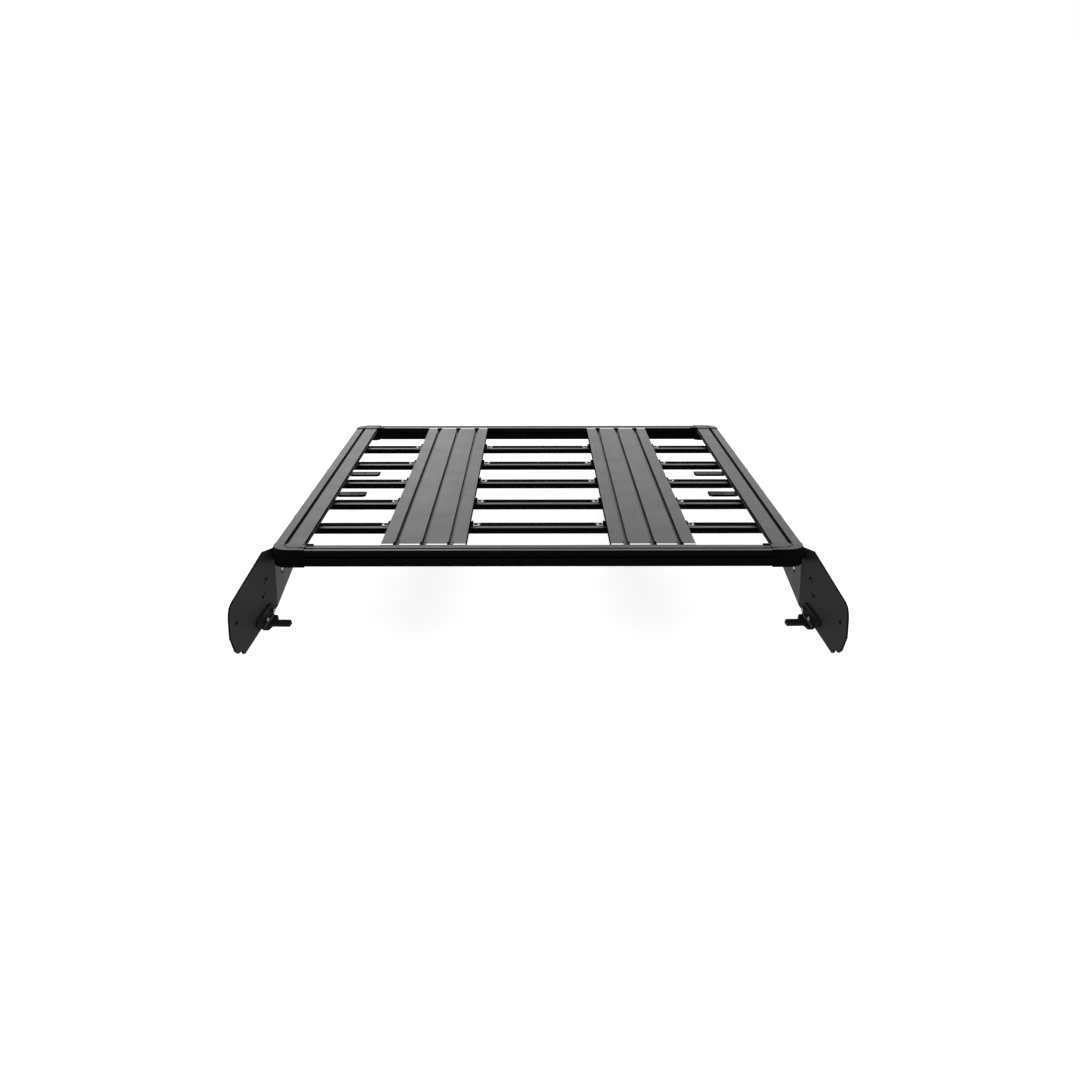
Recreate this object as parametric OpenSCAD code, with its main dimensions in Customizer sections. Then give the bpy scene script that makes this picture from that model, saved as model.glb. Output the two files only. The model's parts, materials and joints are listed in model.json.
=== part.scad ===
// Flat platform roof rack: a perimeter of slotted extrusions with moulded corners,
// five slotted crossbars, two long deck planks, and folded side plates with clamp feet.
// X runs across the rack, Y from front to rear, and Z = 0 is the lowest point of the plates.

/* [Platform] */
// Width of the platform over its side rails
rack_w = 1250; // [1100:10:1400]
// Length of the platform, from front face to rear face
rack_l = 1480; // [1360:10:1700]

/* [Perimeter] */
// Depth of the front and rear beams
beam_d = 44; // [42:1:52]
// Height of the beams and of the side rail's box
beam_h = 39; // [36:1:46]
// Width of a side rail's top
rail_w = 69; // [62:1:72]
// Width of a side rail's box part
rail_box_w = 40; // [38:1:44]
// Thickness of a side rail's inner flange
flange_t = 3.5; // [2.5:0.5:5]
// Drop of the lip along the inner flange
flange_lip_h = 10; // [8:1:13]
// Drop and width of the ledge along the inner flange
flange_ledge_z = 5; // [4:0.5:6]
flange_ledge = 3; // [1:0.5:4]
// Distance of the beams' top slot from the outer face
beam_slot_in = 17; // [16:1:20]
// Distance of the rails' top slot from the outer face
rail_slot_in = 26.5; // [23:0.5:28]
// Width of the mouth of the rails' top slot
rail_slot_w = 9.5; // [8:0.5:11]
// Depth of the outer and inner slots' centre line below the top
face_slot_z = 18; // [17:0.5:20]
// Height of the shallow groove above a beam's lower outer edge
lip_groove_up = 5; // [4:0.5:7]
// Depth and width of the shallow groove
lip_groove = 1.5; // [1:0.25:2]

/* [Slots] */
// Width of a slot's mouth
slot_w = 8; // [6:0.5:9]
// Thickness of the lips over a slot
slot_lip = 3; // [2:0.5:4]
// Width of the channel under the lips
chan_w = 14; // [11:0.5:15]
// Depth of the channel under the lips
chan_d = 6.5; // [5:0.5:7]
// Wall left round the hollows of an extrusion
wall = 2.5; // [2:0.5:3]

/* [Corners] */
// Length of a corner casting along the front or rear beam
corner_w = 77; // [70:1:90]
// Length of a corner casting along the side rail
corner_l = 50; // [48:1:75]
// Plan radius of a corner casting
corner_r = 42; // [20:1:42]
// Rise of a corner casting above the beams
corner_up = 2; // [0.5:0.5:3]
// Drop of a corner casting below the beams
corner_down = 2.5; // [1:0.5:4]
// Reach of a corner's inner arm along the beam, past the casting
arm_reach = 17; // [12:1:30]
// Thickness of a corner's inner arm
arm_t = 3; // [2.5:0.5:6]
// Rise of a corner's inner arm above the beams
arm_up = 3; // [0:0.5:4]
// Width and depth of the groove over a corner
turn_groove_w = 4; // [3:0.5:6]
turn_groove_d = 2; // [1:0.5:3]
// Radius of that groove's turn
turn_r = 22; // [12:1:24]
// Length of the open slot end in a corner
slot_end_l = 15; // [5:1:20]

/* [Crossbars] */
// Distance of the first crossbar's middle from the front face
bar_first = 265; // [200:5:300]
// Distance of the last crossbar's middle from the rear face
bar_last_in = 287; // [200:1:320]
// Depth of a crossbar, front to back
bar_d = 49; // [46:1:56]
// Height of a crossbar
bar_h = 15; // [14:0.5:19]
// Distance of the crossbar's slot from its rear edge
bar_slot_in = 22.5; // [20:0.5:23]
// Width of a crossbar slot's mouth
bar_slot_w = 18; // [14:0.5:19]
// Width of the channel in a crossbar
bar_chan_w = 24; // [22.5:0.5:24.5]
// Height of the groove in a crossbar's front face
bar_groove_h = 5; // [4:0.5:6]
// Depth of the groove in a crossbar's front face
bar_groove_d = 4; // [3:0.5:6]

/* [Deck planks] */
// Width of a plank
plank_w = 201; // [190:1:220]
// Thickness of a plank
plank_t = 15; // [14:0.5:18]
// Distance of a plank's middle from the rack's middle
plank_x = 273; // [250:1:300]
// Gap between a plank's end and the beam
plank_gap = 2; // [1:0.5:6]
// Width of a plank slot's mouth
plank_slot_w = 10; // [8:0.5:10]
// Distance between a plank's slots
plank_slot_pitch = 64; // [55:1:66]
// Thickness of a plank's top skin
plank_skin = 3; // [2.5:0.5:4]
// Length of the wide mouth at each end of a plank slot
plank_entry_l = 26; // [15:1:40]

/* [Clips] */
// Width of a plank clip along the plank
clip_w = 22; // [16:1:26]
// Reach of a clip's foot from the plank
clip_foot = 25; // [22:1:32]
// Rise of a clip's upright above the crossbar
clip_h = 9; // [7:0.5:12]
// Thickness of a clip
clip_t = 3; // [2:0.5:3.5]
// Distance of a clip's bolt from the plank
clip_bolt_out = 14; // [13:0.5:15]
// Diameter of a clip bolt's washer
washer_d = 20; // [19.5:0.5:22]

/* [Side plates] */
// Thickness of the side plates
plate_t = 4; // [3:0.5:6]
// Gap between a rail and its side plate, filled by a spacer on each bolt
plate_gap = 3; // [2:0.5:8]
// Distance of the plate's fold from the front face
fold_d = 56; // [40:1:80]
// Angle by which the front wing turns outwards
wing_angle = 20; // [10:1:30]
// Length of the wing from its fold
wing_l = 199.5; // [170:0.5:230]
// Drop of the plate's top edge below the platform's top
plate_top = 9; // [6:0.5:12]
// Drop of the wing's lowest tip below the platform's top
wing_drop = 224; // [210:1:260]
// Drop of the plate's lower edge at its fold
fold_drop = 157; // [150:1:170]
// Drop of the plate's lower edge along the middle of the rack
mid_drop = 100; // [80:1:110]
// Distance behind the fold over which the lower edge rises
rise_l = 420; // [300:10:500]
// Length of the plate past the platform's rear face
plate_rear = 20; // [0:5:60]

/* [Feet] */
// Drop of a rear foot tab's underside below the platform's top
rear_foot_drop = 173.5; // [160:0.5:180]
// Distance of the rear foot's middle from the plate's rear end
rear_foot_in = 32; // [31:1:120]
// Distance between the middle foot and the rear foot
foot_gap = 286; // [200:2:400]
// Length of a foot bracket along the plate
foot_w = 62; // [50:1:80]
// Thickness of a foot bracket
foot_t = 5; // [4:0.5:6]
// Depth of a foot's clamp tab, front to back
tab_w = 44; // [24:1:50]
// Outward offset of a rear bracket below the plate
kick_out = 28; // [15:1:32]
// Length of the rear foot's tab
rear_tab_l = 98; // [60:1:120]
// Length of the middle foot's tab
mid_tab_l = 87; // [60:1:120]
// Reach of the front foot's tab inwards from the wing
front_tab_l = 60; // [50:1:70]
// Length of the front foot's shelf along the wing's lower edge
shelf_l = 50; // [46:1:60]
// Distance of the front foot from the fold, along the wing
front_foot_s = 26.5; // [20:0.5:40]
// Drop of the front foot's shelf below the platform's top, at its rear end
front_foot_drop = 168.5; // [160:0.5:172]
// Slope of the front foot along the wing's lower edge
front_foot_slope = 22; // [16:1:26]
// Diameter of the clamp hole in a front tab
front_hole_d = 6.6; // [5:0.2:8]
// Diameter of the clamp hole in a rear or middle tab
clamp_hole_d = 9; // [6:0.5:11]
// Height of a rear bracket's upright on the plate
upright_h = 50; // [40:1:60]
// Diameter of the small holes in the wing
wing_hole_d = 5.2; // [3:0.2:8]

/* [Hidden] */
$fn = 48;
eps = 0.01;
half_w = rack_w / 2;
plate_in = half_w + plate_gap;
// The wing's forward reach past the front face, and the middle of the whole length
wing_reach = wing_l * cos(wing_angle) - fold_d;
rear_end = rack_l + plate_rear;
mid_y = (rear_end - wing_reach) / 2;
rail_in = half_w - rail_w;
box_in = half_w - rail_box_w;
beam_l = rack_w - 2 * corner_w;
rail_l = rack_l - 2 * corner_l;
bar_top = -plank_t;
bar_bottom = bar_top - bar_h;
bar_l = 2 * box_in;
bar_n = 5;
bar_pitch = (rack_l - bar_first - bar_last_in) / (bar_n - 1);
plank_l = rack_l - 2 * (beam_d + plank_gap);
plank_chan_w = plank_slot_w + 6;
bracket_l = 30;
bracket_t = 3;
rear_foot_d = rear_end - rear_foot_in;
mid_foot_d = rear_foot_d - foot_gap;
panel_bottom = -mid_drop - 12;
bolt_r = 3;
hole_r = bolt_r + 0.3;
head_r = 6.5;
spacer_r = 8;
nut_w = 11;
nut_h = 4;
head_h = 4;
socket_r = 2.4;
socket_d = 1.5;
washer_t = 1.5;
black = "#1b1b1c";
dark = "#262627";
bright = "#b9bbbd";

// Puts a rack drawn from its front face and top plane into the part's own frame
module rack_frame() {
    translate([0, -mid_y, wing_drop]) children();
}

// Draws a right-hand piece on the right, or mirrored on the left
module on_side(side) {
    if (side < 0) mirror([1, 0, 0]) children();
    else children();
}

// A front piece as drawn, or turned over to the rear face of the platform
module at_end(rear) {
    if (rear) translate([0, rack_l, 0]) mirror([0, 1, 0]) children();
    else children();
}

// The section of a slot with its mouth at y = 0, opening towards +Y
module slot_section(mouth = slot_w, channel = chan_w) {
    translate([-mouth / 2, -slot_lip - eps]) square([mouth, slot_lip + 2 * eps]);
    translate([-channel / 2, -slot_lip - chan_d]) square([channel, chan_d]);
}

// A closed box with slots in its top and outer faces; x runs inwards from the outer face
module slotted_box(width, top_slot_in, top_mouth, inner_slot) {
    solid_in = inner_slot ? slot_lip + chan_d : 0;
    hollow_x = slot_lip + chan_d + wall;
    hollow_w = width - hollow_x - solid_in - wall;
    hollow_top = slot_lip + chan_d + wall;
    difference() {
        translate([0, -beam_h]) square([width, beam_h]);
        translate([top_slot_in, 0]) slot_section(top_mouth);
        translate([0, -face_slot_z]) rotate(90) slot_section();
        if (inner_slot) translate([width, -face_slot_z]) rotate(-90) slot_section();
        translate([-eps, lip_groove_up - beam_h]) square([lip_groove, lip_groove]);
        translate([hollow_x, -beam_h + wall]) square([hollow_w, beam_h - wall - hollow_top]);
    }
}

// Extrudes a section along the rack's width, x of the section running to the rear
module across(length) {
    rotate([90, 0, 90]) linear_extrude(length, center = true) children();
}

// Extrudes a right-hand section along the rack, x of the section running inwards
module along(length) {
    mirror([1, 0, 0]) rotate([90, 0, 0]) linear_extrude(length, center = true) children();
}

module end_beam(rear) {
    color(black) rack_frame() at_end(rear) across(beam_l)
        slotted_box(beam_d, beam_slot_in, slot_w, true);
}

module side_rail(side) {
    color(black) rack_frame() on_side(side) translate([half_w, rack_l / 2, 0]) along(rail_l) {
        slotted_box(rail_box_w, rail_slot_in, rail_slot_w, false);
        translate([rail_box_w - eps, -flange_t]) square([rail_w - rail_box_w + eps, flange_t]);
        translate([rail_w - flange_t, -flange_lip_h]) square([flange_t, flange_lip_h]);
        translate([rail_w - eps, -flange_lip_h])
            square([flange_ledge + eps, flange_lip_h - flange_ledge_z]);
    }
}

// Plan of a corner casting, with its rounded corner outwards
module corner_plan() {
    difference() {
        union() {
            translate([half_w - corner_w, 0]) square([corner_w, beam_d]);
            translate([rail_in, 0]) square([rail_w, corner_l]);
        }
        difference() {
            translate([half_w - corner_r, -eps]) square([corner_r + eps, corner_r + eps]);
            translate([half_w - corner_r, corner_r]) circle(corner_r, $fn = 96);
        }
    }
}

// Plan of the groove that joins the beam's slot line to the rail's
module turn_plan() {
    slot_x = half_w - rail_slot_in;
    middle = [slot_x - turn_r, beam_slot_in + turn_r];
    translate([half_w - corner_w - eps, beam_slot_in - turn_groove_w / 2])
        square([middle[0] - half_w + corner_w + eps, turn_groove_w]);
    translate([slot_x - turn_groove_w / 2, middle[1]])
        square([turn_groove_w, corner_l - middle[1] + eps]);
    translate(middle) intersection() {
        difference() {
            circle(turn_r + turn_groove_w / 2);
            circle(turn_r - turn_groove_w / 2);
        }
        translate([0, -2 * turn_r]) square(2 * turn_r);
    }
}

module corner(side, rear) {
    color(dark) rack_frame() at_end(rear) on_side(side) difference() {
        union() {
            translate([0, 0, -beam_h - corner_down])
                linear_extrude(beam_h + corner_down + corner_up) corner_plan();
            translate([half_w - corner_w - arm_reach, beam_d, -beam_h + 2])
                cube([corner_w + arm_reach - rail_w, arm_t, beam_h - 2 + arm_up]);
        }
        // Screw recess in the front face
        translate([half_w - corner_w + 10, -eps, -beam_h / 3])
            rotate([-90, 0, 0]) cylinder(r = 4.5, h = 4);
        translate([0, 0, corner_up - turn_groove_d]) linear_extrude(turn_groove_d + eps) turn_plan();
        // Open end of the beam's slot
        translate([half_w - corner_w - eps, beam_slot_in - slot_w / 2, -slot_lip])
            cube([slot_end_l, slot_w, slot_lip + corner_up + eps]);
    }
}

// Section of a crossbar, x running to the rear from its front face
module bar_section() {
    room = bar_d - bar_slot_in - bar_chan_w / 2 - bar_groove_d - 2 * wall;
    difference() {
        translate([0, -bar_h]) square([bar_d, bar_h]);
        translate([bar_d - bar_slot_in, 0]) slot_section(bar_slot_w, bar_chan_w);
        translate([-eps, -bar_h / 2 - bar_groove_h / 2]) square([bar_groove_d, bar_groove_h]);
        if (room > 1) translate([bar_groove_d + wall, -bar_h + wall]) square([room, bar_h - 2 * wall]);
    }
}

function bar_y(i) = bar_first + i * bar_pitch;

module crossbar(i) {
    color(black) rack_frame() translate([0, bar_y(i) - bar_d / 2, bar_top])
        across(bar_l) bar_section();
}

// Section of a plank about its middle: a skin with three slots boxed in below it
module plank_section() {
    foot_w = 14;
    difference() {
        union() {
            translate([-plank_w / 2, -plank_skin]) square([plank_w, plank_skin]);
            for (s = [-1, 1]) {
                translate([s * (plank_w - plank_skin) / 2, -plank_t / 2])
                    square([plank_skin, plank_t], center = true);
                translate([s * (plank_w - foot_w) / 2, -plank_t + wall / 2])
                    square([foot_w, wall], center = true);
            }
            for (k = [-1:1]) translate([k * plank_slot_pitch, -plank_t / 2])
                square([plank_chan_w + 2 * wall, plank_t], center = true);
        }
        for (k = [-1:1]) translate([k * plank_slot_pitch, 0])
            slot_section(plank_slot_w, plank_chan_w);
    }
}

module plank(side) {
    color(dark) rack_frame() on_side(side) translate([plank_x, rack_l / 2, 0]) difference() {
        rotate([90, 0, 0]) linear_extrude(plank_l, center = true) plank_section();
        // Wide mouths at both ends of the slots, where bolt heads go in
        for (k = [-1:1], s = [-1, 1])
            translate([k * plank_slot_pitch, s * (plank_l / 2 - plank_entry_l / 2), 0])
                cube([plank_chan_w, plank_entry_l + 2 * eps, 2 * slot_lip + eps], center = true);
    }
}

// Places its children at each plank edge on each crossbar, x running away from the plank
module at_clips() {
    for (i = [0:bar_n - 1], e = [-1, 1])
        translate([plank_x + e * plank_w / 2, bar_y(i) + bar_d / 2 - bar_slot_in, bar_top])
            mirror([e < 0 ? 1 : 0, 0, 0]) children();
}

// Angles against a plank's edges, whose feet lie in the crossbar's slot mouth
module plank_clips(side) {
    foot_y = bar_slot_w - 0.4;
    color(black) rack_frame() on_side(side) at_clips() difference() {
        union() {
            translate([0, -foot_y / 2, -slot_lip]) cube([clip_foot, foot_y, slot_lip]);
            translate([0, -foot_y / 2, -slot_lip]) cube([clip_t, foot_y, clip_h]);
            translate([0, -clip_w / 2, 0]) cube([clip_t, clip_w, clip_h]);
        }
        translate([clip_bolt_out, 0, -slot_lip - 1]) cylinder(r = hole_r, h = slot_lip + 2);
    }
}

// A cap head with its socket, on a washer at z = 0
module cap_screw(r, washer_r, h = head_h) {
    cylinder(r = washer_r, h = washer_t);
    difference() {
        translate([0, 0, washer_t - eps]) cylinder(r = r, h = h);
        translate([0, 0, washer_t + h - socket_d]) cylinder(r = socket_r, h = 2 * socket_d, $fn = 6);
    }
}

module clip_bolts(side) {
    color(bright) rack_frame() on_side(side) at_clips() translate([clip_bolt_out, 0, 0]) {
        cap_screw(5, washer_d / 2, head_h / 2);
        translate([0, 0, -slot_lip - 2]) cylinder(r = bolt_r, h = slot_lip + 2 + eps);
        translate([-nut_w / 2, -bar_slot_w / 2 - 1.5, -slot_lip - nut_h])
            cube([nut_w, bar_slot_w + 3, nut_h - eps]);
    }
}

// Angle brackets that hold the crossbars' ends against the side rail's box
module crossbar_brackets(side) {
    leg_h = bar_h - 2;
    color(black) rack_frame() on_side(side) for (i = [0:bar_n - 1])
        translate([box_in, bar_y(i) - bar_d / 2, bar_bottom + 1]) {
            translate([-bracket_l, -bracket_t, 0]) cube([bracket_l, bracket_t, leg_h]);
            translate([-bracket_t, -bracket_l, 0]) cube([bracket_t, bracket_l, leg_h]);
        }
}

// Outline of the wing from the fold's top to its foot: distance forwards of the fold, and height
function wing_points() = [
    [0, -plate_top - 1], [wing_l * 0.23, -plate_top + 2], [wing_l * 0.917, -wing_drop * 0.388],
    [wing_l * 0.965, -wing_drop * 0.43], [wing_l * 0.99, -wing_drop * 0.49],
    [wing_l, -wing_drop * 0.56], [wing_l, -wing_drop * 0.75],
    [wing_l * 0.922, -wing_drop * 0.915], [wing_l * 0.87, -wing_drop * 0.955],
    [wing_l * 0.79, -wing_drop * 0.945], [wing_l * 0.77, -wing_drop * 0.99],
    [wing_l * 0.742, -wing_drop], [wing_l * 0.376, -wing_drop * 0.844], [0, -fold_drop]
];

// Outline of the main panel from the fold's foot to the rear and back along its top
function panel_points() = [
    [fold_d + rise_l * 0.5, -fold_drop * 0.79], [fold_d + rise_l, -mid_drop],
    [fold_d + rise_l * 1.6, panel_bottom], [rear_end - 20, panel_bottom],
    [rear_end, panel_bottom + 20], [rear_end, -plate_top - 31], [rear_end - 30, -plate_top - 1]
];

// Two pairs of holes near the fold and one near the wing's front edge
function wing_holes() = [
    [wing_l * 0.21, -wing_drop * 0.335], [wing_l * 0.25, -wing_drop * 0.362],
    [wing_l * 0.3, -wing_drop * 0.509], [wing_l * 0.26, -wing_drop * 0.487],
    [wing_l * 0.867, -wing_drop * 0.62]
];

// The whole plate seen from the side, x to the rear from the front face
module plate_side_view() {
    polygon(concat(
        [for (p = wing_points()) [fold_d - p[0] * cos(wing_angle), p[1]]],
        panel_points()
    ));
}

// The folded sheet seen from above, with a mitred bend
module plate_plan() {
    bend = plate_t * tan(wing_angle / 2);
    reach = [sin(wing_angle), -cos(wing_angle)] * wing_l * 1.1;
    skin = [cos(wing_angle), sin(wing_angle)] * plate_t;
    fold = [plate_in, fold_d];
    polygon([
        fold, fold + reach, fold + reach + skin, fold + [plate_t, bend],
        [plate_in + plate_t, rear_end + 1], [plate_in, rear_end + 1]
    ]);
}

// Takes its children from the wing's own plane: x forwards from the fold, y up, z inwards
module on_wing() {
    translate([plate_in, fold_d, 0]) rotate([90, 0, wing_angle - 90]) children();
}

// Places its children at each bolt that holds the plate to the rail's outer slot
module at_plate_bolts() {
    first = corner_l + 50;
    step = (rack_l - 2 * first) / 5;
    for (i = [0:5])
        translate([half_w, first + i * step, -face_slot_z]) rotate([0, 90, 0]) children();
}

module side_plate(side) {
    color(black) rack_frame() on_side(side) difference() {
        intersection() {
            translate([0, 0, -wing_drop - 1]) linear_extrude(wing_drop) plate_plan();
            translate([half_w - 50, 0, 0]) rotate([90, 0, 90])
                linear_extrude(200 + wing_l) plate_side_view();
        }
        on_wing() for (p = wing_holes())
            translate([p[0], p[1], -plate_t - 2]) cylinder(d = wing_hole_d, h = plate_t + 4);
        at_plate_bolts() cylinder(r = hole_r, h = plate_gap + plate_t + 1);
    }
}

module plate_bolts(side) {
    color(bright) rack_frame() on_side(side) at_plate_bolts() {
        translate([0, 0, plate_gap + plate_t]) cap_screw(head_r, head_r + 2.5);
        translate([0, 0, -slot_lip - 2])
            cylinder(r = bolt_r, h = slot_lip + 2 + plate_gap + plate_t + eps);
        cylinder(r = spacer_r, h = plate_gap);
        translate([-nut_w / 2, -nut_w / 2, -slot_lip - nut_h]) cube([nut_w, nut_w, nut_h - eps]);
    }
}

// A flat clamp tab with its inboard end cut on the slant; x inboard, y away from the slant
module tab(length) {
    slant = 8;
    linear_extrude(foot_t)
        polygon([[0, 0], [length - slant, 0], [length, slant], [length, tab_w], [0, tab_w]]);
}

// Section of a rear bracket: down the plate's outside, outwards, down, and in to the tab
module kicked_section() {
    bottom = -rear_foot_drop;
    top = panel_bottom + upright_h;
    knee = bottom + 32;
    inner = kick_out - 1;
    polygon([
        [plate_t, top], [plate_t + foot_t, top], [plate_t + foot_t, panel_bottom],
        [kick_out + foot_t, knee], [kick_out + foot_t, bottom], [inner, bottom],
        [inner, bottom + foot_t], [kick_out, bottom + foot_t], [kick_out, knee],
        [plate_t, panel_bottom]
    ]);
}

module kicked_foot(side, d, tab_l) {
    color(dark) rack_frame() on_side(side) translate([plate_in, d, 0]) difference() {
        union() {
            rotate([90, 0, 0]) linear_extrude(tab_w, center = true) kicked_section();
            translate([plate_t, -foot_w / 2, panel_bottom]) cube([foot_t, foot_w, upright_h]);
            translate([kick_out, -tab_w / 2, -rear_foot_drop]) mirror([1, 0, 0]) tab(tab_l);
        }
        translate([kick_out - tab_l / 2, 0, -rear_foot_drop - 1])
            cylinder(d = clamp_hole_d, h = foot_t + 2);
    }
}

// The front foot is an angle along the wing's lower edge: a flange on the wing's inner face,
// and a shelf that ends in a clamp tab. x runs down along the edge, y up and z inwards.
module at_front_foot() {
    on_wing() translate([front_foot_s, -front_foot_drop, 0]) rotate(-front_foot_slope) children();
}

function front_flange() = [
    [0, -foot_t], [-3, 2], [-12, 9], [-13, 22], [-4, 31], [58, 33], [66, 28], [68, 20],
    [shelf_l + 4, 1], [shelf_l, -foot_t]
];
function front_shelf() = [
    [0, 0], [0, 16], [9, 21], [15, 22], [9.5, front_tab_l - 4], [13, front_tab_l],
    [26, front_tab_l], [shelf_l - 17, 18], [shelf_l - 3, 14.5], [shelf_l, 0]
];
front_bolts = [[-2, 15.5], [30.5, 15.5]];

module front_foot(side) {
    color(dark) rack_frame() on_side(side) at_front_foot() difference() {
        union() {
            linear_extrude(foot_t) polygon(front_flange());
            rotate([90, 0, 0]) linear_extrude(foot_t) polygon(front_shelf());
        }
        translate([20.5, 1, front_tab_l - 17]) rotate([90, 0, 0])
            cylinder(d = front_hole_d, h = foot_t + 2);
    }
}

module foot_bolts(side) {
    color(bright) rack_frame() on_side(side) {
        for (p = front_bolts) at_front_foot() translate([p[0], p[1], foot_t]) cap_screw(4.5, 6.5);
        for (d = [mid_foot_d, rear_foot_d], k = [-1, 1])
            translate([plate_in + plate_t + foot_t, d + k * foot_w / 4, panel_bottom + upright_h / 2])
                rotate([0, 90, 0]) cap_screw(5, 8);
    }
}

end_beam(false);  // front_beam
end_beam(true);  // rear_beam
side_rail(-1);  // left_side_rail
side_rail(1);  // right_side_rail
corner(-1, false);  // front_left_corner
corner(1, false);  // front_right_corner
corner(-1, true);  // rear_left_corner
corner(1, true);  // rear_right_corner
crossbar(0);  // crossbar_1
crossbar(1);  // crossbar_2
crossbar(2);  // crossbar_3
crossbar(3);  // crossbar_4
crossbar(4);  // crossbar_5
plank(-1);  // left_plank
plank(1);  // right_plank
plank_clips(-1);  // left_plank_clips
plank_clips(1);  // right_plank_clips
clip_bolts(-1);  // left_clip_bolts
clip_bolts(1);  // right_clip_bolts
crossbar_brackets(-1);  // left_crossbar_brackets
crossbar_brackets(1);  // right_crossbar_brackets
side_plate(-1);  // left_side_plate
side_plate(1);  // right_side_plate
plate_bolts(-1);  // left_plate_bolts
plate_bolts(1);  // right_plate_bolts
front_foot(-1);  // front_left_foot
front_foot(1);  // front_right_foot
kicked_foot(-1, mid_foot_d, mid_tab_l);  // middle_left_foot
kicked_foot(1, mid_foot_d, mid_tab_l);  // middle_right_foot
kicked_foot(-1, rear_foot_d, rear_tab_l);  // rear_left_foot
kicked_foot(1, rear_foot_d, rear_tab_l);  // rear_right_foot
foot_bolts(-1);  // left_foot_bolts
foot_bolts(1);  // right_foot_bolts
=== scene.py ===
import json
import math

import bmesh
import bpy
from mathutils import Matrix, Vector


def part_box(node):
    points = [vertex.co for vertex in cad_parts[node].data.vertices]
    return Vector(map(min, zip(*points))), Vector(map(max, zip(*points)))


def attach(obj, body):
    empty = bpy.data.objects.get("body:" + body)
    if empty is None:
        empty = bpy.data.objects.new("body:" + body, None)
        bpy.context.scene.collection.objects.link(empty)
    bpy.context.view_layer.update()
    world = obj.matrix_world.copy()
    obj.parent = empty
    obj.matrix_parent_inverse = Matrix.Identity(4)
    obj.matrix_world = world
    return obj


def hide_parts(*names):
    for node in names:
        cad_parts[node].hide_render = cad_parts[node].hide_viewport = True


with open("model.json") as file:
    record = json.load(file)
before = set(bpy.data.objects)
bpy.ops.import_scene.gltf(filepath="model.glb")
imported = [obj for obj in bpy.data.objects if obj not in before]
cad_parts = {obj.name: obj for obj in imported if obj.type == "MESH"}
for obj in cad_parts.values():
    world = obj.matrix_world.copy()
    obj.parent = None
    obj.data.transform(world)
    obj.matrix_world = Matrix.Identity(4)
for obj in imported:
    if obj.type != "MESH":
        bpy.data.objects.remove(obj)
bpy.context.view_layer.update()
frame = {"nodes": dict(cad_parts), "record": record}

MM = 0.001

# Places that follow from the frame, in metres: the platform's front face and its top plane
FRONT_Y = Vector(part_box("front_beam")[0]).y
TOP_Z = Vector(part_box("front_beam")[1]).z

# The camera of the photograph, in metres and degrees
CAMERA_UP = 0.827
CAMERA_BACK = 2.670
CAMERA_RIGHT = -0.008
TILT_DOWN = 16.71
TURN_RIGHT = 0.248
LENS_MM = 40.0
SENSOR_MM = 36.0
VIEW_END = 100.0


def make_camera():
    data = bpy.data.cameras.new("camera")
    data.lens = LENS_MM
    data.sensor_width = SENSOR_MM
    data.clip_end = VIEW_END
    camera = bpy.data.objects.new("camera", data)
    bpy.context.scene.collection.objects.link(camera)
    camera.location = (CAMERA_RIGHT, FRONT_Y - CAMERA_BACK, TOP_Z + CAMERA_UP)
    camera.rotation_euler = (math.radians(90 - TILT_DOWN), 0, math.radians(-TURN_RIGHT))
    bpy.context.scene.camera = camera
    bpy.context.scene.view_settings.view_transform = "Standard"


make_camera()


# Node helpers. Each that makes a value returns the socket that gives it.

def new_material(name):
    material = bpy.data.materials.new(name)
    material.use_nodes = True
    tree = material.node_tree
    tree.nodes.clear()
    return material, tree


def feed(tree, value, socket):
    """Feeds an input from another node's output, or sets it to a constant."""
    if isinstance(value, bpy.types.NodeSocket):
        tree.links.new(value, socket)
    else:
        socket.default_value = value


def add(tree, kind, **inputs):
    """Adds a node and feeds its inputs, whose names have _ for each space."""
    node = tree.nodes.new(kind)
    for key, value in inputs.items():
        feed(tree, value, node.inputs[key.replace("_", " ")])
    return node


def stretched_noise(tree, scale, detail, stretch=(1, 1, 1)):
    """A noise over the object's own coordinates, with its own scale on each axis."""
    coords = tree.nodes.new("ShaderNodeTexCoord")
    mapping = add(tree, "ShaderNodeMapping", Vector=coords.outputs["Object"], Scale=stretch)
    noise = add(tree, "ShaderNodeTexNoise", Vector=mapping.outputs["Vector"], Scale=scale,
                Detail=detail, Roughness=0.6)
    return noise.outputs["Fac"]


def ramp(tree, factor, low, high, start=0.3, end=0.7):
    """A colour that goes from low to high while the factor goes from start to end."""
    node = add(tree, "ShaderNodeValToRGB", Fac=factor)
    for element, place, colour in zip(node.color_ramp.elements, (start, end), (low, high)):
        element.position = place
        element.color = (*colour, 1)
    return node.outputs["Color"]


def facing(tree, axis, low=0.35, high=0.8):
    """1 on the faces that look along the object's own axis, 0 on those across it."""
    coords = tree.nodes.new("ShaderNodeTexCoord")
    parts = add(tree, "ShaderNodeSeparateXYZ", Vector=coords.outputs["Normal"])
    share = tree.nodes.new("ShaderNodeMath")
    share.operation = "ABSOLUTE"
    tree.links.new(parts.outputs[axis], share.inputs[0])
    steps = add(tree, "ShaderNodeMapRange", Value=share.outputs[0], From_Min=low, From_Max=high)
    return steps.outputs["Result"]


def mixed(tree, kind, factor, first, second):
    """A mix of two values (kind FLOAT) or two colours (kind RGBA)."""
    node = tree.nodes.new("ShaderNodeMix")
    node.data_type = kind
    tail = "_Float" if kind == "FLOAT" else "_Color"
    inputs = {socket.identifier: socket for socket in node.inputs}
    feed(tree, factor, inputs["Factor_Float"])
    feed(tree, first, inputs["A" + tail])
    feed(tree, second, inputs["B" + tail])
    return next(socket for socket in node.outputs if socket.identifier == "Result" + tail)


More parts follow.
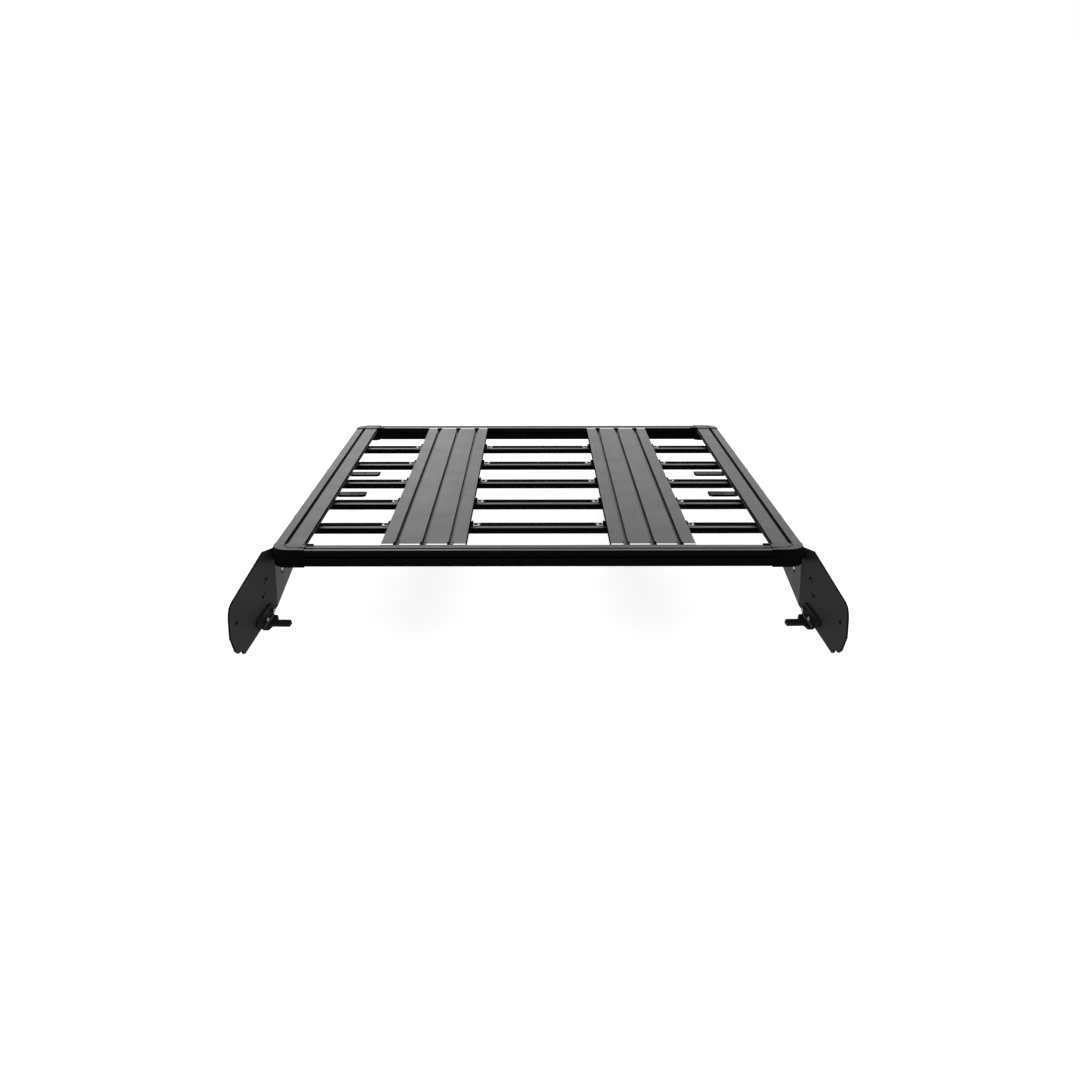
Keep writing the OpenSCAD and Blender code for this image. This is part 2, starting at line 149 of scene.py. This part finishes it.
def surface(tree, tint, gloss, relief, **inputs):
    """Joins a material's colour, roughness and relief in one shader."""
    shader = add(tree, "ShaderNodeBsdfPrincipled", Base_Color=tint, Roughness=gloss,
                 Normal=relief.outputs["Normal"], **inputs)
    add(tree, "ShaderNodeOutputMaterial", Surface=shader.outputs["BSDF"])


# The noises' scales, in noise units per metre
DRAWN_LINES = (420, 3.5, 420)
CLOUDS = 9.0
TOOL_MARKS = 900.0

# The coat: the share of fine noise in its pattern, how much lighter its pale patches are, the
# painted shade and roughness of its dull sides, and in metres its orange peel's depth and the
# rounding of an edge's shade
FINE_SHARE = 0.55
COAT_LIFT = 1.35
SIDE_SHADE_COLOUR, DULL_ROUGHNESS = (0.002, 0.002, 0.002, 1), 0.9
PEEL_DEPTH = 0.0004
EDGE_ROUND = 0.0006


def coated_metal(name, colour, roughness, specular, grain=700.0, bump=0.25, streaks=0.0,
                 smooth_lit_axis=None):
    """Powder-coated metal: fine orange peel, slight colour and gloss variation, soft edges.

    A share of streaks turns the peel into drawing lines along the object's y axis. Where
    an axis is given, only the faces along it are smooth and keep the coat's colour. The others
    are rougher and carry painted shade, a near-black colour, which is chosen to look like the
    photograph."""
    material, tree = new_material(name)
    peel = stretched_noise(tree, grain, 3.0)
    lines = stretched_noise(tree, 1.0, 3.0, DRAWN_LINES)
    fine = mixed(tree, "FLOAT", streaks, peel, lines)
    cloud = stretched_noise(tree, CLOUDS, 2.0)
    pattern = mixed(tree, "FLOAT", FINE_SHARE, cloud, fine)
    tint = ramp(tree, pattern, colour, tuple(c * COAT_LIFT for c in colour))
    gloss = ramp(tree, pattern, (roughness - 0.05,) * 3, (roughness + 0.06,) * 3)
    # Painted shade: the faces across the given axis get a near-black colour and a higher
    # roughness
    if smooth_lit_axis:
        smooth_lit_faces = facing(tree, smooth_lit_axis)
        tint = mixed(tree, "RGBA", smooth_lit_faces, SIDE_SHADE_COLOUR, tint)
        gloss = mixed(tree, "FLOAT", smooth_lit_faces, DULL_ROUGHNESS, gloss)
    round_edge = add(tree, "ShaderNodeBevel", Radius=EDGE_ROUND)
    round_edge.samples = 4
    relief = add(tree, "ShaderNodeBump", Strength=bump, Distance=PEEL_DEPTH, Height=fine,
                 Normal=round_edge.outputs["Normal"])
    surface(tree, tint, gloss, relief, Specular_IOR_Level=specular)
    return material


def bare_metal(name, colour, roughness, stretch=(1, 1, 1), metallic=1.0):
    """Uncoated steel or aluminium with fine turning or saw marks."""
    material, tree = new_material(name)
    marks = stretched_noise(tree, TOOL_MARKS, 2.0, stretch)
    tint = ramp(tree, marks, tuple(c * 0.88 for c in colour), colour)
    gloss = ramp(tree, marks, (roughness - 0.06,) * 3, (roughness + 0.08,) * 3)
    relief = add(tree, "ShaderNodeBump", Strength=0.12, Distance=0.0002, Height=marks)
    surface(tree, tint, gloss, relief, Metallic=metallic)
    return material


def rubber(name, grey, roughness, specular):
    """Rubber with a coarser grain than the coat's."""
    return coated_metal(name, (grey, grey, grey), roughness, specular, grain=300.0, bump=0.4)


def blackened(name, grey, roughness, specular):
    """Black oxide or paint on a screw's head."""
    return coated_metal(name, (grey, grey, grey), roughness, specular, grain=1500.0, bump=0.1)


# One material for each slot of the CAD nodes, then those of this script's own pieces
# Coats given an axis carry painted shade, a near-black colour, on their faces across it
MATERIALS = {
    "frame_metal": coated_metal("frame_coat", (0.021, 0.021, 0.022), 0.34, 0.064,
                                smooth_lit_axis="Z"),
    "plank_metal": coated_metal("plank_coat", (0.025, 0.025, 0.026), 0.34, 0.07,
                                streaks=0.75, smooth_lit_axis="Z"),
    "corner_casting": coated_metal("casting_coat", (0.02, 0.02, 0.021), 0.36, 0.064,
                                   grain=500.0, smooth_lit_axis="Z"),
    "plate_metal": coated_metal("plate_coat", (0.023, 0.023, 0.024), 0.5, 0.1, grain=900.0,
                                smooth_lit_axis="X"),
    "bracket_metal": coated_metal("bracket_coat", (0.011, 0.011, 0.0115), 0.45, 0.055),
    "bolt_steel": bare_metal("bolt_steel", (0.62, 0.63, 0.64), 0.3),
}
BOLT_STEEL = MATERIALS["bolt_steel"]
ZINC = bare_metal("zinc_plate", (0.66, 0.67, 0.68), 0.4, metallic=0.35)
CUT_METAL = bare_metal("cut_aluminium", (0.7, 0.7, 0.71), 0.4, (0.1, 1, 1))
RUBBER = rubber("black_rubber", 0.004, 0.85, 0.05)
MATT_RUBBER = rubber("matt_rubber", 0.003, 0.9, 0.0)
BLACK_HEAD = blackened("black_head", 0.005, 0.5, 0.01)
OXIDE = blackened("screw_oxide", 0.008, 0.32, 0.15)
# A coat lighter than the foot's own, for the bend of a front foot: a painted highlight along
# the bend
BEND_HIGHLIGHT_COAT = coated_metal("bend_highlight_coat", (0.055, 0.055, 0.057), 0.45, 0.15, grain=1200.0, bump=0.4)


def dress_nodes():
    for entry in frame["record"]["subparts"]:
        node = frame["nodes"][entry["node"]]
        for slot in node.material_slots:
            slot.material = MATERIALS[entry["material_slot"]]


dress_nodes()


# The rack's layout in millimetres, as its source has it. A place is (x, d, z): x outwards from
# the middle, d from the platform's front face to the rear, and z up from its top plane.
SIDES = {"left": -1, "right": 1}
PLATFORM_L = 1480.0

# Side rails: their width, their outer face, the inner edge of their flange, and their ends
RAIL_W = 69.0
RAIL_OUT = 625.0
RAIL_IN = RAIL_OUT - RAIL_W
RAIL_START = 50.0
RAIL_END = PLATFORM_L - RAIL_START

# Crossbars: the first one's middle, their pitch, number and top, then how far behind a bar's
# middle its slot, its rubber strip and its rear edge lie
BAR_FIRST, BAR_PITCH, BAR_COUNT = 265.0, 232.0, 5
BAR_TOP = -15.0
BAR_SLOT_BACK = 2.0
BAR_STRIP_BACK = 12.6
BAR_HALF = 24.5

# Planks: their middle, half width, ends and slots, and how far out of their edges the clips'
# bolts and the bays for the rubber strips lie
PLANK_X, PLANK_HALF = 273.0, 100.5
PLANK_START = 46.0
PLANK_END = PLATFORM_L - PLANK_START
PLANK_SLOTS, PLANK_MOUTH_HALF = (-64.0, 0.0, 64.0), 7.8
CLIP_BOLT_OUT = 14.0
BAY_OUT = 25.5

# Side plates and their bolts. Each wing turns out from its fold by an angle.
PLATE_GAP, PLATE_T = 3.0, 4.0
PLATE_IN = RAIL_OUT + PLATE_GAP
PLATE_OUT = PLATE_IN + PLATE_T
PLATE_BOLTS = [100.0 + 256.0 * i for i in range(6)]
PLATE_BOLT_Z = -18.0
PANEL_SCREW = (128.0, -84.0)
# How far below the panel screw a dark disc sits: the screw's painted shadow
PANEL_SHADOW_DISC_DOWN = 9.6
FOLD_D, WING_TURN = 56.0, math.radians(20)
WING_L, WING_DROP = 199.5, 224.0
# The wing's small holes, as shares of its length and of its drop
GROMMET_HOLES = ((0.21, 0.335), (0.3, 0.509))
EYELET_HOLE = (0.867, 0.62)

# Front feet: where on the wing the bend starts, and its slope; then the sheet, the shelf's
# length and the bolts, whose places run along the bend and up the flange
FOOT_S, FOOT_Z, FOOT_SLOPE = 26.5, -168.5, math.radians(22)
FOOT_T, SHELF_L = 5.0, 50.0
FRONT_BOLTS = ((-1.0, 12.5), (31.5, 12.5))

# Middle and rear feet: their d and the length of each one's clamp tab, then the tab's root,
# half width, cut corner and underside, and the bolts beside the foot's middle
REAR_FEET = ((1182.0, 87.0), (1468.0, 98.0))
TAB_X, TAB_HALF, TAB_SLANT, TAB_LOW = 656.0, 22.0, 8.0, -173.5
FOOT_BOLT_HALF, FOOT_BOLT_Z = 15.5, -87.0

UP = Vector((0, 0, 1))


def spot(side, x, d, z):
    return Vector((side * x * MM, FRONT_Y + d * MM, TOP_Z + z * MM))


def outwards(side):
    return Vector((side, 0, 0))


def wing_inwards(side):
    return Vector((-side * math.cos(WING_TURN), -math.sin(WING_TURN), 0))


def on_wing(side, s, z, w):
    """A place on a front wing: s forwards from its fold, w inwards from its inner face."""
    x = PLATE_IN + s * math.sin(WING_TURN) - w * math.cos(WING_TURN)
    return spot(side, x, FOLD_D - s * math.cos(WING_TURN) - w * math.sin(WING_TURN), z)


def on_wing_share(side, along, down):
    return on_wing(side, WING_L * along, -WING_DROP * down, 0)


def on_front_foot(side, along, up, over):
    """A place on a front foot: along its sloping bend, up its flange and over its shelf."""
    s = FOOT_S + along * math.cos(FOOT_SLOPE) + up * math.sin(FOOT_SLOPE)
    z = FOOT_Z - along * math.sin(FOOT_SLOPE) + up * math.cos(FOOT_SLOPE)
    return on_wing(side, s, z, over)


def bar_places():
    return [BAR_FIRST + BAR_PITCH * i for i in range(BAR_COUNT)]


def new_piece(name, mesh, material, smooth=True):
    data = bpy.data.meshes.new(name)
    mesh.normal_update()
    mesh.to_mesh(data)
    mesh.free()
    for face in data.polygons:
        face.use_smooth = smooth
    if smooth:
        data.set_sharp_from_angle(angle=math.radians(35))
    data.materials.append(material)
    piece = bpy.data.objects.new(name, data)
    bpy.context.scene.collection.objects.link(piece)
    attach(piece, "root")
    return piece


# Solids made of rings of points

def bridge(mesh, rings):
    """Adds the faces between each ring of points and the next."""
    for low, high in zip(rings, rings[1:]):
        for i in range(len(low)):
            j = (i + 1) % len(low)
            mesh.faces.new((low[i], low[j], high[j], high[i]))


def add_lofted(mesh, rings):
    """Adds a solid through rings of points, closed at both ends."""
    bridge(mesh, rings)
    mesh.faces.new(list(reversed(rings[0])))
    mesh.faces.new(rings[-1])


def add_swept(mesh, rows):
    """Adds a solid through rows of places, each a closed section of it."""
    add_lofted(mesh, [[mesh.verts.new(place) for place in row] for row in rows])


def add_block(mesh, side, xs, ds, zs, soften=0.15):
    """Adds a bar with softened top edges, which reaches over xs, ds and zs."""
    low, high = (spot(side, *ends) for ends in zip(xs, ds, zs))
    left, right = sorted((low.x, high.x))
    inset = soften * MM
    corners = [(left, low.y), (right, low.y), (right, high.y), (left, high.y)]
    inner = [(left + inset, low.y + inset), (right - inset, low.y + inset),
             (right - inset, high.y - inset), (left + inset, high.y - inset)]
    add_swept(mesh, [[(x, y, low.z) for x, y in corners],
                     [(x, y, high.z - inset) for x, y in corners],
                     [(x, y, high.z) for x, y in inner]])


# Turned solids: rows of (radius, height) about an axis, where a radius may be a hexagon's

SEGMENTS = 36


def hexagon(apothem):
    return ("hexagon", apothem)


def radius_at(radius, turn):
    if isinstance(radius, tuple):
        sixth = math.pi / 3
        return radius[1] / math.cos((turn + sixth / 2) % sixth - sixth / 2)
    return radius


def turned_rings(mesh, rows, place, axis):
    matrix = Matrix.Translation(place) @ axis.to_track_quat("Z", "Y").to_matrix().to_4x4()
    rings = []
    for radius, height in rows:
        ring = []
        for i in range(SEGMENTS):
            turn = 2 * math.pi * i / SEGMENTS
            r = radius_at(radius, turn) * MM
            point = Vector((r * math.cos(turn), r * math.sin(turn), height * MM))
            ring.append(mesh.verts.new(matrix @ point))
        rings.append(ring)
    return rings


def add_turned(mesh, rows, place, axis):
    """Adds a turned solid, closed at both ends."""
    add_lofted(mesh, turned_rings(mesh, rows, place, axis))


def add_ring(mesh, profile, place, axis):
    """Adds a ring, whose rows are a closed profile."""
    rings = turned_rings(mesh, profile, place, axis)
    bridge(mesh, rings + rings[:1])


WASHER_T = 1.5


def washer_rows(radius, thick=WASHER_T):
    return [(radius - 0.3, 0), (radius, 0.3), (radius, thick - 0.3), (radius - 0.35, thick)]


def screw_rows(radius, height, base=WASHER_T, socket=2.2):
    """A cap head with a hexagon socket."""
    top = base + height
    return [(radius - 0.2, base), (radius, base + 0.2), (radius, top - 0.8),
            (radius - 0.25, top - 0.3), (radius - 0.8, top), (socket + 0.9, top),
            (hexagon(socket), top - 0.35), (hexagon(socket), top - 0.8 * height)]


def button_rows(radius, height, base=WASHER_T, socket=2.0, steps=5):
    """A low domed head with a hexagon socket."""
    rim = math.radians(60)
    dome = [(radius * math.cos(rim * i / steps),
             base + height * math.sin(rim * i / steps) / math.sin(rim))
            for i in range(steps + 1)]
    top = base + height
    return dome + [(socket + 0.4, top), (hexagon(socket), top - 0.3),
                   (hexagon(socket), base + 0.3)]


# The bolts, with their washers

def make_clip_bolts(word, side):
    washers, heads = bmesh.new(), bmesh.new()
    for bar in bar_places():
        for edge in (-1, 1):
            place = spot(side, PLANK_X + edge * (PLANK_HALF + CLIP_BOLT_OUT),
                         bar + BAR_SLOT_BACK, BAR_TOP)
            add_turned(washers, washer_rows(9.3), place, UP)
            add_turned(heads, button_rows(5.4, 2.0), place, UP)
    piece = new_piece(word + "_clip_washers", washers, ZINC)
    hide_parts(word + "_clip_bolts")
    new_piece(word + "_clip_screws", heads, BLACK_HEAD)


def make_plate_screws(word, side, spacer_r=8.0):
    """The side plate's bolts, each with the spacer between the plate and the rail."""
    mesh = bmesh.new()
    out = outwards(side)
    for d in PLATE_BOLTS:
        place = spot(side, PLATE_OUT, d, PLATE_BOLT_Z)
        add_turned(mesh, washer_rows(9.0), place, out)
        add_turned(mesh, screw_rows(6.5, 4.0, socket=2.6), place, out)
        add_turned(mesh, [(spacer_r, 0), (spacer_r, PLATE_GAP)],
                   spot(side, RAIL_OUT, d, PLATE_BOLT_Z), out)
    piece = new_piece(word + "_plate_screws", mesh, BOLT_STEEL)
    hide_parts(word + "_plate_bolts")


def make_panel_screw(word, side):
    """The screw through the side plate, with its nut outside."""
    mesh = bmesh.new()
    out = outwards(side)
    inner, outer = spot(side, PLATE_IN, *PANEL_SCREW), spot(side, PLATE_OUT, *PANEL_SCREW)
    add_turned(mesh, button_rows(5.2, 2.6, base=0.0), inner, -out)
    add_turned(mesh, washer_rows(6.0, 1.0), outer, out)
    add_turned(mesh, [(hexagon(4.6), 1.0), (hexagon(5.0), 1.4), (hexagon(5.0), 4.4),
                      (hexagon(4.5), 4.8)], outer, out)
    new_piece(word + "_panel_screw", mesh, BOLT_STEEL)


def make_foot_screws(word, side):
    """Steel screws on the middle and rear feet, and dark caps on the front one, each with a
    pale zinc ring that is a painted highlight.
    """
    screws, caps, highlight_rings = bmesh.new(), bmesh.new(), bmesh.new()
    for d, _ in REAR_FEET:
        for end in (-1, 1):
            place = spot(side, PLATE_OUT + FOOT_T, d + end * FOOT_BOLT_HALF, FOOT_BOLT_Z)
            add_turned(screws, washer_rows(8.0), place, outwards(side))
            add_turned(screws, screw_rows(5.0, 4.0), place, outwards(side))
    for along, up in FRONT_BOLTS:
        place = on_front_foot(side, along, up, FOOT_T)
        add_turned(caps, washer_rows(6.5), place, wing_inwards(side))
        add_turned(caps, screw_rows(4.6, 3.6), place, wing_inwards(side))
        # A pale zinc ring on each cap stands in for its top and bottom highlights: a painted
        # highlight
        add_ring(highlight_rings, [(1.7, 4.9), (4.5, 4.9), (4.3, 5.4), (3.4, 5.7), (2.0, 5.4)], place,
                 wing_inwards(side))
    piece = new_piece(word + "_foot_screws", screws, BOLT_STEEL)
    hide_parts(word + "_foot_bolts")
    new_piece(word + "_front_foot_highlight_rings", highlight_rings, ZINC)
    new_piece(word + "_front_foot_caps", caps, OXIDE)


# Finer pieces that the CAD model leaves out

def make_cut_ends(word, side, deep=7.5, sunk=-0.2, proud=0.3):
    """The bare saw-cut margins across both ends of a plank, broken at its slots."""
    mesh = bmesh.new()
    stops = [-PLANK_HALF]
    for slot in PLANK_SLOTS:
        stops += [slot - PLANK_MOUTH_HALF, slot + PLANK_MOUTH_HALF]
    stops.append(PLANK_HALF)
    for start in (PLANK_START, PLANK_END - deep):
        for left, right in zip(stops[::2], stops[1::2]):
            add_block(mesh, side, (PLANK_X + left, PLANK_X + right), (start, start + deep),
                      (sunk, proud))
    new_piece(word + "_plank_cut_ends", mesh, CUT_METAL, smooth=False)


def make_clip_pads(word, side, start=0.1, end=7.5, half=11.3, low_z=-13.2, high_z=-5.4,
                   rivet=3.0):
    """The rubber pads over the clips' uprights, each with the tip of a rivet."""
    pads, tips = bmesh.new(), bmesh.new()
    for bar in bar_places():
        d = bar + BAR_SLOT_BACK
        for edge in (-1, 1):
            x = PLANK_X + edge * PLANK_HALF
            add_block(pads, side, (x + edge * start, x + edge * end), (d - half, d + half),
                      (low_z, high_z), soften=1.2)
            add_turned(tips, button_rows(2.2, 1.0, base=0.0, socket=0.8),
                       spot(side, x + edge * rivet, d + 0.5 * half, high_z), UP)
    new_piece(word + "_clip_pads", pads, MATT_RUBBER, smooth=False)
    new_piece(word + "_clip_rivets", tips, BOLT_STEEL)


def make_grommets(word, side):
    """Rubber grommets and an eyelet in the wing's small holes, and below the panel's screw a
    dark rubber disc that is its painted shadow.
    """
    mesh = bmesh.new()
    for hole in GROMMET_HOLES:
        add_ring(mesh, [(1.9, -4.4), (2.55, -4.4), (2.55, 0), (4.0, 0), (4.1, 0.3), (3.7, 0.8),
                        (2.2, 0.8), (1.9, 0.5)], on_wing_share(side, *hole), wing_inwards(side))
    add_ring(mesh, [(2.65, 0), (4.4, 0), (4.3, 0.5), (3.8, 0.8), (2.9, 0.8)],
             on_wing_share(side, *EYELET_HOLE), wing_inwards(side))
    # A dark disc under the panel screw: painted shadow
    d, z = PANEL_SCREW
    add_turned(mesh, button_rows(4.4, 1.6, base=0.0, socket=0.8),
               spot(side, PLATE_IN, d, z - PANEL_SHADOW_DISC_DOWN), -outwards(side))
    bmesh.ops.recalc_face_normals(mesh, faces=mesh.faces)
    new_piece(word + "_grommets", mesh, RUBBER)


def make_tab_edge_strips(word, side, root=1.0, half=1.2, under=0.7, over=0.8):
    """Dark matt strips round the edges of the middle and rear clamp tabs."""
    mesh = bmesh.new()
    turn = math.tan(math.radians(22.5)) * half
    section = ((-1, -under), (1, -under), (1, FOOT_T + over), (-1, FOOT_T + over))
    for d, length in REAR_FEET:
        # The tab's outline, and on each corner how far a mitre runs along x and d
        path = [((root, -TAB_HALF), (0, -half)),
                ((length - TAB_SLANT, -TAB_HALF), (turn, -half)),
                ((length, TAB_SLANT - TAB_HALF), (half, -turn)),
                ((length, TAB_HALF), (half, half)),
                ((root, TAB_HALF), (0, half))]
        add_swept(mesh, [[spot(side, TAB_X - x - sign * mitre_x, d + y + sign * mitre_y,
                               TAB_LOW + z) for sign, z in section]
                         for (x, y), (mitre_x, mitre_y) in path])
    bmesh.ops.recalc_face_normals(mesh, faces=mesh.faces)
    new_piece(word + "_tab_edge_strips", mesh, MATT_RUBBER, smooth=False)


def make_foot_bead(word, side, radius=3.2, ripple=0.12, inset=1.0, sunk=-0.3, steps=5,
                   sections=60):
    """The bead in the bend between a front foot's flange and its shelf, with fine ripples. Its
    rounding catches real light, and its coat is lighter than the foot's: a painted highlight.
    """
    mesh = bmesh.new()
    rows = []
    for i in range(sections + 1):
        along = inset + (SHELF_L - 2 * inset) * i / sections
        r = radius + ripple * math.sin(1.9 * i)
        outline = [(sunk, sunk), (r, sunk)]
        for k in range(steps + 1):
            turn = math.radians(90 * k / steps)
            outline.append((r - r * math.sin(turn), r - r * math.cos(turn)))
        outline.append((sunk, r))
        rows.append([on_front_foot(side, along, up, FOOT_T + over) for up, over in outline])
    add_swept(mesh, rows)
    bmesh.ops.recalc_face_normals(mesh, faces=mesh.faces)
    new_piece(word + "_foot_bead", mesh, BEND_HIGHLIGHT_COAT)


def make_foot_pad(word, side, thick=3.0, hole_at=(20.5, 43.0), hole_r=4.6, steps=24):
    """The rubber pad under a front foot's shelf and clamp tab, open at the clamp hole."""
    # Both loops are places along the bend and over the shelf
    outline = [(0.4, 0.4), (0.4, 16), (9, 21), (14.6, 22), (9.7, 56), (13, 59.7), (25.8, 59.7),
               (32.8, 18), (46.8, 14.3), (49.6, 0.4)]
    hole = [(hole_at[0] + hole_r * math.cos(2 * math.pi * i / steps),
             hole_at[1] + hole_r * math.sin(2 * math.pi * i / steps)) for i in range(steps)]
    mesh = bmesh.new()
    edges = []
    for loop in (outline, hole):
        points = [mesh.verts.new(on_front_foot(side, along, -FOOT_T, over))
                  for along, over in loop]
        edges += [mesh.edges.new((points[i - 1], points[i])) for i in range(len(points))]
    bmesh.ops.triangle_fill(mesh, use_beauty=True, edges=edges)
    made = bmesh.ops.extrude_face_region(mesh, geom=mesh.faces[:])
    down = on_front_foot(side, 0, -FOOT_T - thick, 0) - on_front_foot(side, 0, -FOOT_T, 0)
    lower = [item for item in made["geom"] if isinstance(item, bmesh.types.BMVert)]
    bmesh.ops.translate(mesh, vec=down, verts=lower)
    bmesh.ops.recalc_face_normals(mesh, faces=mesh.faces)
    new_piece(word + "_foot_pad", mesh, RUBBER, smooth=False)


def make_edge_shade_strips(word, side, sunk=0.4, proud=0.7):
    """Black matt strips on the inner edge of a side rail's flange and on both edges of a plank:
    painted shade along those edges.
    """
    mesh = bmesh.new()
    rail_ds, rail_zs = (RAIL_START + 0.5, RAIL_END - 0.5), (-4.9, -0.5)
    plank_ds, plank_zs = (PLANK_START + 1, PLANK_END - 1), (-14.0, -0.7)
    # Each edge, the way it faces (-1 or 1) and the reach of its strip of painted shade
    for x, out, ds, zs in ((RAIL_IN, -1, rail_ds, rail_zs),
                           (PLANK_X - PLANK_HALF, -1, plank_ds, plank_zs),
                           (PLANK_X + PLANK_HALF, 1, plank_ds, plank_zs)):
        # Each strip is a dark sheet of painted shade
        add_block(mesh, side, (x - out * sunk, x + out * proud), ds, zs, soften=0.3)
    new_piece(word + "_edge_shade_strips", mesh, MATT_RUBBER, smooth=False)


def make_bar_strips(sunk=-0.2, thick=0.4, inset=0.2, margin=3.0):
    """Rubber strips on the crossbars' rear lips, in the three bays between planks and rails."""
    mesh = bmesh.new()
    inner = PLANK_X - PLANK_HALF - BAY_OUT
    outer = PLANK_X + PLANK_HALF + BAY_OUT
    for bar in bar_places():
        ds = (bar + BAR_STRIP_BACK, bar + BAR_HALF - inset)
        for xs in ((-RAIL_IN + margin, -outer), (-inner, inner), (outer, RAIL_IN - margin)):
            add_block(mesh, 1, xs, ds, (BAR_TOP + sunk, BAR_TOP + thick))
    new_piece("crossbar_strips", mesh, MATT_RUBBER, smooth=False)


for word, side in SIDES.items():
    make_clip_bolts(word, side)
    make_plate_screws(word, side)
    make_panel_screw(word, side)
    make_foot_screws(word, side)
    make_cut_ends(word, side)
    make_clip_pads(word, side)
    make_grommets(word, side)
    make_tab_edge_strips(word, side)
    make_foot_bead(word, side)
    make_foot_pad(word, side)
    make_edge_shade_strips(word, side)
make_bar_strips()


# The stage: a pale floor, a white surround and soft studio light

def background_rays(tree):
    """1 for the rays that show the background directly, mirrored or through glass, else 0."""
    path = tree.nodes.new("ShaderNodeLightPath")
    total = path.outputs["Is Camera Ray"]
    for name in ("Is Glossy Ray", "Is Transmission Ray"):
        either = tree.nodes.new("ShaderNodeMath")
        either.operation = "MAXIMUM"
        tree.links.new(total, either.inputs[0])
        tree.links.new(path.outputs[name], either.inputs[1])
        total = either.outputs[0]
    return total


def join_shaders(tree, kind, *sources):
    """Adds a node that joins shaders and feeds its inputs in order."""
    node = tree.nodes.new(kind)
    for source, socket in zip(sources, node.inputs):
        tree.links.new(source, socket)
    return node.outputs[0]


def make_world(ambient=0.6):
    """White wherever the background shows or is mirrored, and a softer fill for matt light."""
    world = bpy.data.worlds.new("surround")
    world.use_nodes = True
    tree = world.node_tree
    tree.nodes.clear()
    fill = add(tree, "ShaderNodeBackground", Color=(0.97, 0.98, 1, 1), Strength=ambient)
    white = add(tree, "ShaderNodeBackground", Color=(1, 1, 1, 1), Strength=1.0)
    seen = join_shaders(tree, "ShaderNodeMixShader", background_rays(tree), fill.outputs[0],
                        white.outputs[0])
    add(tree, "ShaderNodeOutputWorld", Surface=seen)
    bpy.context.scene.world = world


def make_floor(size=60.0, albedo=0.42, glow=0.83):
    """A matt floor that keeps the rack's shadow and shows as the white background."""
    material, tree = new_material("pale_floor")
    matt = add(tree, "ShaderNodeBsdfDiffuse", Color=(albedo, albedo, albedo, 1))
    bright = add(tree, "ShaderNodeEmission", Color=(1, 1, 1, 1), Strength=glow)
    both = join_shaders(tree, "ShaderNodeAddShader", matt.outputs[0], bright.outputs[0])
    seen = join_shaders(tree, "ShaderNodeMixShader", background_rays(tree), matt.outputs[0],
                        both)
    add(tree, "ShaderNodeOutputMaterial", Surface=seen)
    bpy.ops.mesh.primitive_plane_add(size=size, location=(0, 0, 0))
    floor = bpy.context.object
    floor.name = "floor"
    floor.data.materials.append(material)


def area_light(name, place, target, width, height, radiance):
    """A soft light of a given size and surface brightness, unseen by the camera itself."""
    data = bpy.data.lights.new(name, "AREA")
    data.shape = "RECTANGLE"
    data.size = width
    data.size_y = height
    data.energy = radiance * math.pi * width * height
    lamp = bpy.data.objects.new(name, data)
    bpy.context.scene.collection.objects.link(lamp)
    lamp.location = place
    aim = Vector(target) - Vector(place)
    lamp.rotation_euler = aim.to_track_quat("-Z", "Y").to_euler()
    lamp.visible_camera = False


FLOOR_MIDDLE = (0, 0, 0)
DECK_MIDDLE = (0, 0, 0.2)

make_world()
make_floor()
area_light("overhead", (0.3, 1.2, 3.6), FLOOR_MIDDLE, width=3.0, height=3.0, radiance=2.0)
area_light("back_wide", (0, 8.0, 2.2), DECK_MIDDLE, width=12.0, height=3.4, radiance=0.75)
area_light("back_left", (-3.4, 7.0, 2.0), DECK_MIDDLE, width=6.0, height=3.0, radiance=0.75)
